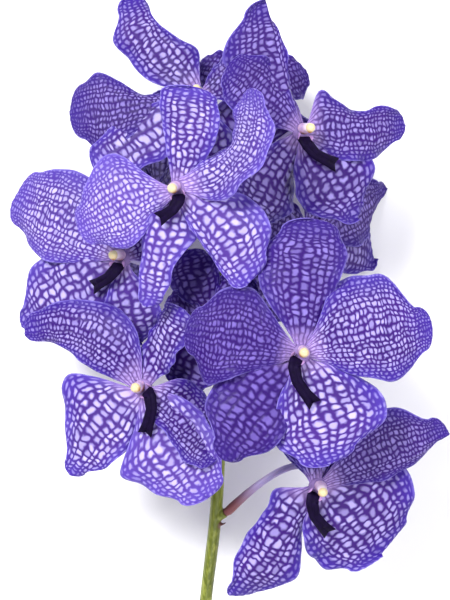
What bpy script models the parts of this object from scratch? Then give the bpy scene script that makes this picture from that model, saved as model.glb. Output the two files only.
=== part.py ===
"""Cut spray of a blue vanda orchid, lying on its back on a table.

Millimetres in the sizes below, metres in Blender. X runs across the spray, Y along
its stalk towards the top bloom, and Z up from the table. Every bloom has five tepals
on a small receptacle, a lip, a column and an anther cap, and hangs on a pedicel of
its own from the one green flower stalk.
"""

import math

import bmesh
import bpy
import numpy as np
from mathutils import Matrix

MM = 0.001
MERGE = 0.00001
CAP_MERGE = 0.000001

# What rests is cut flat by a block under the table's top
TABLE_BLOCK = (500.0, 600.0, 20.0)
TABLE_CUT = 0.2

# The middle of the footprint, in the places used below, which count from the point
# of the table that the middle of the bloom head lies over.
FOOTPRINT_MIDDLE = (1.79, -34.71)

# The flower stalk: its line, from the cut end to the top, and its thickness
STALK_LINE = (
    (-14.5, -190.0, 2.35),
    (-13.2, -176.0, 2.35),
    (-10.6, -150.0, 9.0),
    (-7.4, -117.0, 24.0),
    (-4.2, -90.0, 36.0),
    (-2.6, -68.0, 41.5),
    (-2.2, -40.0, 45.0),
    (-2.6, -5.0, 47.0),
    (-3.0, 30.0, 47.0),
    (-2.5, 52.0, 46.0),
    (-1.5, 66.0, 45.0),
)
STALK_RADIUS = 2.5
STALK_TIP_RADIUS = 1.6
STALK_RINGS = 18
STALK_FINE_RINGS = 400
TAPER_START = 0.75

# One pedicel for each bloom, on a boss of the stalk that leans towards the top
PEDICEL_RADIUS = 1.4
PEDICEL_FOOT_RADIUS = 1.9
FOOT_SHARE = 0.3
PEDICEL_SIDES = 8
PEDICEL_POINTS = 9
BOSS_RADIUS = 2.0
BOSS_LENGTH = 4.9
BOSS_LEAN = 0.6
SEAM = 0.3

# The small scale of the stalk under each boss
SCALE_RADII = (1.5, 0.3)
SCALE_LENGTH = 5.2
SCALE_SIDES = 6
SCALE_DROP = 3.2
SCALE_LEAN = 0.25

# What all blooms share
BLADE = 0.8
CELLS_ACROSS = 4
CELLS_ALONG = 7
CLAW_START = 2.2
CLAW_WIDTH = 5.0
RECEPTACLE_RADIUS = 3.6
RECEPTACLE_HEIGHT = 3.4
RECEPTACLE_SIDES = 10
COLUMN_LENGTH = 5.0
COLUMN_RADII = (2.2, 1.8)
COLUMN_SHIFT = 1.2
COLUMN_SIDES = 8
CAP_RADIUS = 1.9
CAP_HEIGHT = 2.2

# The lip from its foot to its forked end: out from the bloom's middle if the lip is
# as short as it gets, forward of the middle, and half its width there
LIP_ROWS = (
    (2.7, 2.0, 1.9),
    (3.0, 3.9, 2.6),
    (4.9, 5.4, 2.5),
    (8.3, 5.7, 2.2),
    (12.0, 5.0, 2.3),
    (15.5, 3.8, 2.9),
)
LIP_CELLS = 5
LIP_THICKNESS = 1.7
LIP_NOTCH = 2.6
KNEE_EASE = 1.5

# A tepal's half width is known at each step of its length, and beyond the round start
# its end is rounded. The oval is the half width of a plain one, as a share of the most
RIM_STEP = 0.15
ROUND_START = 0.9
OVAL = (0.39, 0.68, 0.89, 1.0, 0.94, 0.64)

# How a tepal grows if its bloom says nothing else. Its midrib runs from the claw to
# the tip, and "left" and "right" are as it is seen from the front with its tip up.
# clock    where it points, clockwise from straight up as the bloom is faced, and
# length   how far it reaches; or instead of both of these
# tip      the X and Y of its tip
# forward  how far the tip stands in front of the bloom's plane
# arch     how far the midrib bows to the front, and sway to the right
# left     greatest width left of the midrib, of an oval blade; or, of a lobed one, its
#          widths at each of the steps along it; right the same on the right
# roll     turn about the midrib that lifts the right rim
# crease   degrees that both halves fold forward by, and cup more at their rims
# wave     height of the ripples of the rim, waves how many there are
PLAIN = {
    "length": 43.0,
    "forward": 0.0,
    "arch": 1.5,
    "sway": 0.0,
    "left": 17.0,
    "right": 17.0,
    "roll": 0.0,
    "crease": 0.0,
    "cup": -10.0,
    "wave": 2.0,
    "waves": 1.5,
    "phase": 0.0,
    "beak": 0.7,
    "raise": 0.0,
}
KINDS = {
    "dorsal": {"clock": 0.0, "phase": 0.1, "raise": -0.6},
    "petal_right": {"clock": 72.0, "phase": 0.3, "raise": 0.6},
    "petal_left": {"clock": -72.0, "phase": 0.8, "raise": 0.6},
    "sepal_right": {"clock": 146.0, "phase": 0.5, "raise": -0.4},
    "sepal_left": {"clock": -146.0, "phase": 0.6, "raise": -0.9},
}

# place    the middle of the receptacle, faces the way that the bloom looks
# joint    the Y on the stalk where its pedicel leaves, and reach how far the
#          pedicel runs on before it turns, at its foot and at the bloom; bow is
#          how far its middle is pushed off
# lip      where the lip's end lies, clockwise from straight up as the bloom is faced,
#          knee how far round from there its foot is, lip_reach how far out it ends
BLOOMS = {
    1: {
        "place": (-9.8, 79.2, 60.0),
        "faces": (-0.28, 0.30, 0.90),
        "joint": 50.0,
        "lip": 190.0,
        "knee": 30.0,
        "lip_reach": 15.5,
        "dorsal": {
            "tip": (-35.6, 119.7), "sway": -3.0,
            "left": (5, 10, 12, 12.5, 14.5, 8), "right": (8, 12, 9, 6, 4, 3.5),
        },
        "petal_left": {
            "tip": (-60.5, 74.0),
            "left": (6, 9, 13, 17, 19, 11), "right": (3, 3, 5, 10.5, 14.3, 11.3),
        },
        "sepal_left": {
            "tip": (-49.9, 50.7), "forward": 3.0,
            "left": (7, 11, 12.5, 12, 10, 6), "right": (5.5, 9.5, 12, 12.5, 11.5, 9),
        },
        "petal_right": {"tip": (10.0, 91.0), "left": 10.0, "right": 12.0},
        "sepal_right": {"tip": (-6.0, 45.0), "left": 13.0, "right": 13.0},
    },
    2: {
        "place": (-18.7, 42.9, 88.0),
        "faces": (-0.15, -0.10, 0.98),
        "joint": 20.0,
        "lip": 212.0,
        "knee": -62.0,
        "lip_reach": 13.5,
        "dorsal": {
            "tip": (-13.0, 81.8),
            "left": (4, 5.5, 7.5, 9.6, 11.2, 11.5), "right": (6, 9.5, 12, 13, 12.5, 10),
        },
        "petal_left": {
            "tip": (-56.2, 26.9),
            "left": (5, 8, 12, 13.5, 11, 7), "right": (10, 20, 23, 20.8, 15, 9),
        },
        "petal_right": {
            "tip": (9.4, 81.1), "sway": 10.0, "roll": 50.0,
            "left": (5, 8, 9.5, 9.5, 10, 8), "right": (9, 15, 18, 17.5, 14, 9),
        },
        "sepal_right": {
            "tip": (8.6, 7.0),
            "left": (11, 18, 21, 22, 20, 12), "right": (4, 4.5, 5, 5.5, 5.8, 5.5),
        },
        "sepal_left": {
            "tip": (-30.0, -2.0),
            "left": (8, 12, 9, 6.5, 6.5, 4.8), "right": (6, 8.5, 8.4, 7, 6, 4),
        },
    },
    3: {
        "place": (29.6, 65.5, 70.0),
        "faces": (0.45, 0.05, 0.88),
        "joint": 36.0,
        "lip": 133.0,
        "knee": 60.0,
        "lip_reach": 19.0,
        "dorsal": {
            "tip": (15.6, 116.2), "sway": -1.5,
            "left": (6, 13, 19, 21.5, 19.6, 10.5), "right": (2.5, 2, 2.5, 3.2, 3, 1.2),
        },
        "petal_right": {
            "tip": (70.0, 69.0),
            "left": (15.5, 12, 8, 6.3, 8, 6), "right": (8, 12, 13, 13, 11, 6),
        },
        "petal_left": {"tip": (1.9, 90.9), "left": 13.0, "right": 13.0},
        "sepal_right": {
            "tip": (51.5, 32.4),
            "left": (9, 16, 20, 19.5, 15, 6), "right": (10, 15, 17, 16, 13, 7),
        },
        "sepal_left": {
            "tip": (9.0, 30.0), "left": 15.0, "right": 18.0, "roll": 20.0,
            "forward": -5.0,
        },
    },
    4: {
        "place": (-40.2, 16.4, 60.0),
        "faces": (-0.45, 0.0, 0.88),
        "joint": -6.0,
        "lip": 226.0,
        "knee": -50.0,
        "lip_reach": 16.5,
        "petal_left": {
            "tip": (-83.5, 38.5),
            "left": (6, 10, 13.5, 14.5, 12, 8), "right": (9, 18, 22, 22.7, 19.7, 15),
        },
        "sepal_left": {
            "tip": (-79.2, -10.5),
            "left": (8, 12, 13.5, 13, 9, 4), "right": (9, 15, 18, 19.5, 16.5, 5.5),
        },
        "dorsal": {"tip": (-41.0, 50.0), "left": 13.0, "right": 13.0, "forward": -9.0},
        "petal_right": {"tip": (-17.0, 27.0), "left": 11.0, "right": 11.0, "forward": -16.0},
        "sepal_right": {
            "tip": (-33.0, -16.0), "left": 11.0, "right": 12.0, "roll": 40.0,
            "forward": -12.0,
        },
    },
    5: {
        "place": (29.6, -20.7, 86.0),
        "faces": (0.02, -0.06, 1.0),
        "joint": -46.0,
        "lip": 165.0,
        "knee": 60.0,
        "lip_reach": 20.5,
        "dorsal": {
            "tip": (33.2, 30.8),
            "left": (7, 13, 17.8, 18.7, 17.5, 11.2), "right": (6, 8.5, 11, 13.5, 15, 11.5),
        },
        "petal_right": {
            "tip": (79.0, -8.0),
            "left": (11, 21.5, 24, 23, 20.7, 6.3), "right": (7, 13, 16, 19.5, 16.8, 11),
        },
        "petal_left": {
            "tip": (-14.8, -12.9),
            "left": (6, 9, 12, 16, 18, 8), "right": (8, 15, 21, 21.5, 19, 11),
        },
        "sepal_left": {
            "tip": (0.1, -61.6),
            "left": (7, 10, 12, 13, 11.5, 5.5), "right": (9, 16, 19.5, 20, 18, 8),
        },
        "sepal_right": {
            "tip": (40.4, -63.0),
            "left": (13, 20, 25.5, 27, 24, 11), "right": (8, 13, 16, 18, 17.7, 11),
        },
    },
    6: {
        "place": (-32.0, -34.3, 64.0),
        "faces": (-0.25, -0.05, 0.95),
        "joint": -62.0,
        "lip": 176.0,
        "knee": -62.0,
        "lip_reach": 18.3,
        "petal_left": {
            "tip": (-78.0, -13.7), "sway": 9.0,
            "left": (7, 9.5, 9.5, 7.6, 5.5, 3.7), "right": (9, 14.5, 15.5, 14, 11.7, 8),
        },
        "sepal_left": {
            "tip": (-60.0, -68.3),
            "left": (6, 9, 10.8, 10, 8.5, 3.5), "right": (16, 26, 25.5, 18.7, 12, 5),
        },
        "sepal_right": {
            "tip": (-6.5, -76.3),
            "left": (10, 14, 15, 15, 13.5, 9), "right": (9, 17, 26.5, 22, 18, 11),
        },
        "petal_right": {
            "tip": (-2.5, -60.5), "roll": 35.0,
            "left": (12, 16, 17, 15, 11, 6), "right": (5, 7, 8, 9, 10, 9),
        },
        "dorsal": {
            "tip": (-17.5, -3.5), "left": 12.0, "right": 11.0, "roll": 35.0,
            "forward": 4.0,
        },
    },
    7: {
        "place": (36.3, -72.9, 58.0),
        "faces": (0.15, -0.40, 0.90),
        "joint": -86.0,
        "reach": (20.0, 18.0),
        "bow": (0.0, 7.0, 0.0),
        "lip": 163.0,
        "knee": 60.0,
        "lip_reach": 20.0,
        "sepal_right": {
            "tip": (61.4, -99.3),
            "left": (20, 29, 30, 28.5, 24, 16), "right": (14, 18.5, 21.5, 21.5, 21, 14),
        },
        "sepal_left": {
            "tip": (2.3, -115.8), "crease": -12.0,
            "left": (5, 8, 14, 19, 17, 10), "right": (13, 11, 10, 9, 8, 3.7),
        },
        "petal_right": {
            "tip": (87.0, -52.3),
            "left": (8, 14, 19, 20.5, 17.7, 9.3), "right": (4, 6, 7, 7, 6.5, 1.2),
        },
        "dorsal": {"tip": (36.0, -46.0), "forward": -14.0, "left": 15.0, "right": 15.0},
        "petal_left": {"tip": (25.0, -42.0), "forward": -22.0, "left": 9.0, "right": 12.0},
    },
    8: {
        "place": (-5.0, -7.0, 62.0),
        "faces": (-0.10, 0.0, 1.0),
        "joint": -30.0,
        "lip": 180.0,
        "knee": 0.0,
        "lip_reach": 15.5,
        "dorsal": {"tip": (-14.0, 19.0), "left": 11.7, "right": 9.0},
        "petal_left": {"tip": (-23.5, -4.0), "forward": -2.0, "left": 6.5, "right": 9.0},
        "sepal_left": {"tip": (-16.5, -34.0), "left": 12.0, "right": 12.0},
        "petal_right": {"tip": (9.8, 8.0), "left": 9.0, "right": 9.0},
        "sepal_right": {"tip": (7.8, -27.0), "left": 9.0, "right": 9.0},
    },
    9: {
        "place": (33.0, 25.0, 35.0),
        "faces": (0.74, 0.0, 0.67),
        "joint": 4.0,
        "lip": 160.0,
        "knee": 20.0,
        "lip_reach": 15.5,
        "petal_right": {
            "tip": (63.5, 44.3), "beak": 1.8,
            "left": (5, 9.5, 12, 12, 10, 4), "right": (5, 11, 14, 14, 10, 2.5),
        },
        "sepal_right": {"tip": (59.0, 17.0), "left": 15.0, "right": 9.0, "forward": -4.0},
        "dorsal": {"tip": (41.0, 58.0), "left": 13.0, "right": 13.0},
        "sepal_left": {"clock": -150.0, "length": 36.0, "forward": -10.0},
        "petal_left": {
            "clock": -66.0, "length": 27.0, "forward": -3.0,
            "left": 12.0, "right": 12.0,
        },
    },
    10: {
        "place": (10.0, 82.0, 41.0),
        "faces": (0.15, 0.45, 0.88),
        "joint": 58.0,
        "lip": 180.0,
        "knee": 0.0,
        "lip_reach": 15.5,
        "dorsal": {"tip": (13.0, 104.0), "left": 10.0, "right": 10.0},
        "petal_left": {"tip": (-10.0, 93.0), "left": 9.0, "right": 9.0},
        "petal_right": {"tip": (31.0, 91.0), "left": 9.0, "right": 11.0},
        "sepal_left": {"tip": (-1.5, 66.5), "left": 11.0, "right": 8.0},
        "sepal_right": {"length": 32.0, "left": 12.0, "right": 12.0, "forward": -4.0},
    },
    11: {
        "place": (-27.0, 40.0, 32.0),
        "faces": (-0.70, 0.15, 0.55),
        "joint": 26.0,
        "lip": 200.0,
        "knee": 0.0,
        "lip_reach": 15.5,
        "petal_right": {"clock": 60.0, "length": 24.0, "left": 10.0, "right": 11.0},
        "sepal_right": {"clock": 146.0, "length": 32.0, "left": 13.0, "right": 13.0},
    },
}


def unit(vector):
    vector = np.asarray(vector, float)
    return vector / np.linalg.norm(vector)


def bloom_axes(bloom):
    """The bloom's right, up and front as it is faced."""
    front = unit(bloom["faces"])
    right = unit(np.cross((0.0, 1.0, 0.0), front))
    return right, np.cross(front, right), front


def turned(bloom, clock):
    right, up, _ = bloom_axes(bloom)
    angle = math.radians(clock)
    return up * math.cos(angle) + right * math.sin(angle)


def tip_of(bloom, tepal):
    place = np.asarray(bloom["place"], float)
    front = bloom_axes(bloom)[2]
    if "tip" not in tepal:
        out = turned(bloom, tepal["clock"])
        return place + out * tepal["length"] + front * tepal["forward"]
    x, y = tepal["tip"]
    fall = (front[0] * (x - place[0]) + front[1] * (y - place[1])) / front[2]
    return np.array((x, y, place[2] - fall + tepal["forward"]))


def arc(reach, start, turn):
    """Along and up of a line of that length that sets out at start and turns by turn."""
    turn = np.where(np.abs(turn) < 1e-6, 1e-6, turn)
    radius = reach / turn
    along = radius * (np.sin(start + turn) - np.sin(start))
    return along, radius * (np.cos(start) - np.cos(start + turn))


def half_width(tepal, u, v):
    """From the midrib to the rim, at v from the claw, 0, to the tip, 1."""
    at = np.clip(v, 0, ROUND_START) / RIM_STEP
    piece = np.minimum(at.astype(int), len(OVAL) - 1)
    t = at - piece
    sides = []
    for given in (tepal["left"], tepal["right"]):
        if not isinstance(given, tuple):
            given = given * np.array(OVAL)
        knots = np.array((CLAW_WIDTH / 2, CLAW_WIDTH / 2, *given, given[-1]))
        a, b, c, d = (knots[piece + i] for i in range(4))
        sides.append(
            b
            + (c - a) * t / 2
            + (2 * a - 5 * b + 4 * c - d) * t**2 / 2
            + (3 * b - a - 3 * c + d) * t**3 / 2
        )
    closing = np.clip((v - ROUND_START) / (1 - ROUND_START), 0, 1)
    return np.where(u < 0, *sides) * np.sqrt(1 - closing**2)


def tepal_points(bloom, tepal, u, v, lowest):
    """Where the middle of the blade stands, u from the left rim, -1, to the right, 1.

    What would sink into the table lies flat on it."""
    front = bloom_axes(bloom)[2]
    place = np.asarray(bloom["place"], float)
    tip = tip_of(bloom, tepal)
    out = unit(tip - place - front * np.dot(tip - place, front))
    start = place + out * CLAW_START + front * tepal["raise"]
    line = tip + unit(tip - start) * tepal["beak"] - start
    across = unit(np.cross(line, front))
    bow = 4 * (tepal["arch"] * unit(np.cross(across, line)) + tepal["sway"] * across)
    v = v[..., None]
    midrib = start + line * v + bow * v * (1 - v)
    heading = line + bow * (1 - 2 * v)
    heading = heading / np.linalg.norm(heading, axis=-1, keepdims=True)
    side = np.cross(heading, front)
    side = side / np.linalg.norm(side, axis=-1, keepdims=True)
    facing = np.cross(side, heading)
    opened = np.clip(v / 0.4, 0, 1)
    opened = opened * opened * (3 - 2 * opened)
    roll = np.radians(tepal["roll"] * opened)
    side, facing = (
        side * np.cos(roll) + facing * np.sin(roll),
        facing * np.cos(roll) - side * np.sin(roll),
    )
    v, opened = v[..., 0], opened[..., 0]
    over, rise = arc(
        half_width(tepal, u, v) * np.abs(u),
        math.radians(tepal["crease"]) * opened,
        math.radians(tepal["cup"]) * np.abs(u) * opened,
    )
    ripple = 2 * np.pi * (tepal["waves"] * v + tepal["phase"] + 0.3 * np.sign(u))
    rise = rise + tepal["wave"] * u * u * np.sin(ripple) * opened
    points = (
        midrib + (over * np.sign(u))[..., None] * side + rise[..., None] * facing
    )
    points[..., 2] = np.maximum(points[..., 2], lowest)
    return points


def tepals_of(bloom):
    return {
        kind: {**PLAIN, **grown, **bloom.get(kind, {})}
        for kind, grown in KINDS.items()
    }


def stalk_points(count):
    """Points evenly along the stalk, on a smooth line through its given places."""
    knots = np.array(STALK_LINE, float)
    ends = np.vstack((2 * knots[0] - knots[1], knots, 2 * knots[-1] - knots[-2]))
    at = np.linspace(0, len(knots) - 1, count)
    piece = np.minimum(at.astype(int), len(knots) - 2)
    t = (at - piece)[:, None]
    a, b, c, d = (ends[piece + i] for i in range(4))
    return 0.5 * (
        2 * b
        + (c - a) * t
        + (2 * a - 5 * b + 4 * c - d) * t**2
        + (3 * b - a - 3 * c + d) * t**3
    )


def joint_of(bloom):
    """Where the bloom's boss sits on the stalk's middle, and the way that it points."""
    line = stalk_points(STALK_FINE_RINGS)
    here, ahead = (
        np.array([np.interp(y, line[:, 1], line[:, i]) for i in range(3)])
        for y in (bloom["joint"], bloom["joint"] + 1)
    )
    along = unit(ahead - here)
    away = np.asarray(bloom["place"], float) - here
    radial = unit(away - along * np.dot(away, along))
    out = radial * math.sqrt(1 - BOSS_LEAN**2) + along * BOSS_LEAN
    return here, radial, along, out


def pedicel_line(bloom):
    """The pedicel's middle, from 0.3 mm off its boss to 0.3 mm behind the receptacle."""
    here, _, _, out = joint_of(bloom)
    front = bloom_axes(bloom)[2]
    foot = here + out * (BOSS_LENGTH + SEAM)
    end = np.asarray(bloom["place"], float) - front * (RECEPTACLE_HEIGHT / 2 + SEAM)
    span = np.linalg.norm(end - foot)
    reach = bloom.get("reach", (0.4 * span, 0.4 * span))
    stub = PEDICEL_RADIUS
    a, d = foot + out * stub, end - front * stub
    bow = np.array(bloom.get("bow", (0.0, 0.0, 0.0)))
    b, c = foot + out * reach[0] + bow, end - front * reach[1] + bow
    t = np.linspace(0, 1, PEDICEL_POINTS - 2)[:, None]
    curve = a * (1 - t) ** 3 + 3 * b * t * (1 - t) ** 2 + 3 * c * t**2 * (1 - t) + d * t**3
    return np.vstack((foot, curve, end))


def to_world(points):
    shift = np.array((FOOTPRINT_MIDDLE[0], FOOTPRINT_MIDDLE[1], 0.0))
    return (np.asarray(points, float) - shift) * MM


def material(name, colour, roughness):
    made = bpy.data.materials.new(name)
    made.use_nodes = True
    shader = made.node_tree.nodes["Principled BSDF"]
    shader.inputs["Base Color"].default_value = (*colour, 1.0)
    shader.inputs["Roughness"].default_value = roughness
    shader.inputs["Metallic"].default_value = 0.0
    return made


def collection(name):
    made = bpy.data.collections.new(name)
    bpy.context.scene.collection.children.link(made)
    return made


def add_object(name, data, home, surface=None):
    made = bpy.data.objects.new(name, data)
    home.objects.link(made)
    if surface:
        data.materials.append(surface)
    return made


def mesh_from(name, shape):
    mesh = bpy.data.meshes.new(name)
    shape.to_mesh(mesh)
    shape.free()
    return mesh


def stand(made, place, direction, side=(0.0, 1.0, 0.0)):
    """Puts an object's Z along a direction, and its X as near as may be to a side."""
    z = unit(direction)
    y = unit(np.cross(z, side))
    x = np.cross(y, z)
    place = to_world(place)
    made.matrix_world = Matrix(
        (
            (x[0], y[0], z[0], place[0]),
            (x[1], y[1], z[1], place[1]),
            (x[2], y[2], z[2], place[2]),
            (0.0, 0.0, 0.0, 1.0),
        )
    )


def frustum(name, home, low, high, length, sides, surface=None):
    """A cone or a cylinder that stands on its origin."""
    shape = bmesh.new()
    bmesh.ops.create_cone(
        shape,
        cap_ends=True,
        segments=sides,
        radius1=low * MM,
        radius2=high * MM,
        depth=length * MM,
    )
    bmesh.ops.translate(shape, verts=shape.verts, vec=(0, 0, length * MM / 2))
    return add_object(name, mesh_from(name, shape), home, surface)


def tube(name, home, points, radii, surface=None):
    curve = bpy.data.curves.new(name, "CURVE")
    curve.dimensions = "3D"
    curve.twist_mode = "MINIMUM"
    curve.bevel_depth = MM
    curve.bevel_resolution = PEDICEL_SIDES // 2 - 2
    curve.use_fill_caps = True
    spline = curve.splines.new("POLY")
    spline.points.add(len(points) - 1)
    for point, place, radius in zip(spline.points, to_world(points), radii):
        point.co = (*place, 1.0)
        point.radius = radius
    return add_object(name, curve, home, surface)


def as_mesh(made):
    """Turns an object's evaluated shape into its own mesh, in place of its modifiers."""
    graph = bpy.context.evaluated_depsgraph_get()
    graph.update()
    mesh = bpy.data.meshes.new_from_object(made.evaluated_get(graph))
    shape = bmesh.new()
    shape.from_mesh(mesh)
    bmesh.ops.remove_doubles(shape, verts=shape.verts, dist=CAP_MERGE)
    shape.to_mesh(mesh)
    shape.free()
    name, home, matrix = made.name, made.users_collection[0], made.matrix_world.copy()
    surfaces = list(made.data.materials)
    bpy.data.objects.remove(made)
    made = add_object(name, mesh, home)
    made.matrix_world = matrix
    mesh.name = name
    mesh.materials.clear()
    for surface in surfaces:
        mesh.materials.append(surface)
    return made


def fuse(base, helpers, table):
    """Joins a collection's objects to the base and cuts off what lies under the table.

    The blades' thin tips leave loose slivers with the exact solver."""
    union = base.modifiers.new("Grown together", "BOOLEAN")
    union.operation = "UNION"
    union.operand_type = "COLLECTION"
    union.collection = helpers
    union.solver = "MANIFOLD"
    flat = base.modifiers.new("Lies flat", "BOOLEAN")
    flat.operation = "DIFFERENCE"
    flat.object = table
    flat.solver = "MANIFOLD"
    made = as_mesh(base)
    for helper in list(helpers.objects):
        bpy.data.objects.remove(helper)
    bpy.data.collections.remove(helpers)
    return made


def tepal_object(name, home, bloom, tepal):
    shape = bmesh.new()
    bmesh.ops.create_grid(
        shape, x_segments=CELLS_ACROSS, y_segments=CELLS_ALONG, size=1.0
    )
    flat = np.array([vert.co for vert in shape.verts])
    u, v = flat[:, 0], np.sin((flat[:, 1] + 1) * np.pi / 4)
    lowest = BLADE / 2 - TABLE_CUT
    places = to_world(tepal_points(bloom, tepal, u, v, lowest))
    for vert, place in zip(shape.verts, places):
        vert.co = place
    bmesh.ops.remove_doubles(shape, verts=shape.verts, dist=MERGE)
    bmesh.ops.triangulate(shape, faces=shape.faces)
    made = add_object(name, mesh_from(name, shape), home)
    shell = made.modifiers.new("Blade", "SOLIDIFY")
    shell.thickness = BLADE * MM
    shell.offset = 0.0
    return made


def perianth(number, bloom, home, table, surface):
    """The five tepals on the receptacle that they grow from."""
    name = f"perianth_{number}"
    base = frustum(
        name, home, RECEPTACLE_RADIUS, RECEPTACLE_RADIUS, RECEPTACLE_HEIGHT,
        RECEPTACLE_SIDES, surface,
    )
    front = bloom_axes(bloom)[2]
    stand(base, np.asarray(bloom["place"]) - front * RECEPTACLE_HEIGHT / 2, front)
    helpers = collection(f"Tepals {number}")
    for kind, tepal in tepals_of(bloom).items():
        tepal_object(f"{kind}_{number}", helpers, bloom, tepal)
    return fuse(base, helpers, table)


def seat(bloom, out):
    """A place on the front of the receptacle, a seam off it."""
    front = bloom_axes(bloom)[2]
    forward = front * (RECEPTACLE_HEIGHT / 2 + SEAM)
    side = turned(bloom, bloom["lip"] + bloom["knee"])
    return np.asarray(bloom["place"]) + side * out + forward


def column(number, bloom, home, surface):
    made = frustum(
        f"column_{number}", home, *COLUMN_RADII, COLUMN_LENGTH, COLUMN_SIDES, surface
    )
    stand(made, seat(bloom, -COLUMN_SHIFT), bloom_axes(bloom)[2])


def anther_cap(number, bloom, home, surface):
    shape = bmesh.new()
    bmesh.ops.create_uvsphere(shape, u_segments=COLUMN_SIDES, v_segments=4, radius=1.0)
    bmesh.ops.bisect_plane(
        shape,
        geom=shape.verts[:] + shape.edges[:] + shape.faces[:],
        plane_co=(0, 0, 0),
        plane_no=(0, 0, 1),
        clear_inner=True,
    )
    bmesh.ops.remove_doubles(shape, verts=shape.verts, dist=0.001)
    bmesh.ops.holes_fill(shape, edges=shape.edges)
    bmesh.ops.scale(
        shape, verts=shape.verts, vec=(CAP_RADIUS * MM, CAP_RADIUS * MM, CAP_HEIGHT * MM)
    )
    bmesh.ops.recalc_face_normals(shape, faces=shape.faces)
    name = f"anther_cap_{number}"
    made = add_object(name, mesh_from(name, shape), home, surface)
    front = bloom_axes(bloom)[2]
    stand(made, seat(bloom, -COLUMN_SHIFT) + front * (COLUMN_LENGTH + SEAM), front)


def lip_rows(bloom):
    """The lip's rows: right and up on the bloom's face, forward of it, half the width."""
    rows = np.array(LIP_ROWS)
    foot = rows[0, 0]
    share = (rows[:, 0] - foot) / (rows[-1, 0] - foot)
    reach = foot + share * (bloom["lip_reach"] - foot)
    clock = np.radians(bloom["lip"] + bloom["knee"] * (1 - share) ** KNEE_EASE)
    return np.column_stack((reach * np.sin(clock), reach * np.cos(clock), rows[:, 1:]))


def lip(number, bloom, home, surface):
    """A thick tongue that rises beside the column, turns outwards and ends in a fork."""
    shape = bmesh.new()
    bmesh.ops.create_grid(shape, x_segments=4, y_segments=LIP_CELLS, size=1.0)
    rows = lip_rows(bloom)
    right, up, front = bloom_axes(bloom)
    path = rows[:, :1] * right + rows[:, 1:2] * up
    heading = np.gradient(path, axis=0)
    for vert in shape.verts:
        u = vert.co.x
        row = round((vert.co.y + 1) / 2 * LIP_CELLS)
        out = unit(heading[row])
        notch = LIP_NOTCH * (1 - abs(u)) * (row == LIP_CELLS)
        place = np.asarray(bloom["place"]) + path[row] - out * notch + front * rows[row, 2]
        vert.co = to_world(place + np.cross(out, front) * rows[row, 3] * u)
    bmesh.ops.triangulate(shape, faces=shape.faces)
    name = f"lip_{number}"
    made = add_object(name, mesh_from(name, shape), home, surface)
    shell = made.modifiers.new("Flesh", "SOLIDIFY")
    shell.thickness = LIP_THICKNESS * MM
    shell.offset = 0.0
    return as_mesh(made)


def pedicel(number, bloom, home, surface):
    line = pedicel_line(bloom)
    swollen = np.clip(1 - np.linspace(0, 1, len(line)) / FOOT_SHARE, 0, 1)
    radii = PEDICEL_RADIUS + (PEDICEL_FOOT_RADIUS - PEDICEL_RADIUS) * swollen
    tube(f"pedicel_{number}", home, line, radii, surface)


def stalk(home, table, surface):
    """The stalk with a boss for each pedicel and the small scale under each boss."""
    line = stalk_points(STALK_RINGS)
    share = np.linspace(0, 1, STALK_RINGS)
    radii = np.interp(share, (TAPER_START, 1.0), (STALK_RADIUS, STALK_TIP_RADIUS))
    base = as_mesh(tube("flower_stalk", home, line, radii, surface))
    helpers = collection("Bosses")
    for number, bloom in BLOOMS.items():
        here, radial, along, out = joint_of(bloom)
        boss = frustum(
            f"boss_{number}", helpers, BOSS_RADIUS, BOSS_RADIUS, BOSS_LENGTH, PEDICEL_SIDES
        )
        stand(boss, here, out)
        scale = frustum(
            f"scale_{number}", helpers, *SCALE_RADII, SCALE_LENGTH, SCALE_SIDES
        )
        stand(scale, here - along * SCALE_DROP, radial + along * SCALE_LEAN, along)
    return fuse(base, helpers, table)


def table_cutter():
    """What lies under the table's top, to cut flat what rests on it."""
    home = collection("Cutters")
    shape = bmesh.new()
    bmesh.ops.create_cube(shape, size=1.0)
    made = add_object("table_block", mesh_from("table_block", shape), home)
    made.scale = np.array(TABLE_BLOCK) * MM
    made.location = (0.0, 0.0, -TABLE_BLOCK[2] * MM / 2)
    made.hide_render = True
    made.display_type = "WIRE"
    return made


for old in list(bpy.data.objects):
    bpy.data.objects.remove(old)

spray = collection("Vanda orchid spray")
block = table_cutter()
tepal_skin = material("Tepals", (0.23, 0.12, 0.62), 0.5)
column_flesh = material("Column", (0.30, 0.16, 0.42), 0.45)
cap_skin = material("Anther cap", (0.80, 0.70, 0.48), 0.5)
lip_flesh = material("Lip", (0.012, 0.006, 0.05), 0.3)
pedicel_skin = material("Pedicels", (0.42, 0.30, 0.55), 0.5)
stalk_skin = material("Flower stalk", (0.24, 0.27, 0.04), 0.45)

stalk(spray, block, stalk_skin)
for count, grown in BLOOMS.items():
    perianth(count, grown, spray, block, tepal_skin)
    column(count, grown, spray, column_flesh)
    anther_cap(count, grown, spray, cap_skin)
    lip(count, grown, spray, lip_flesh)
    pedicel(count, grown, spray, pedicel_skin)
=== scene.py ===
import math

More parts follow.
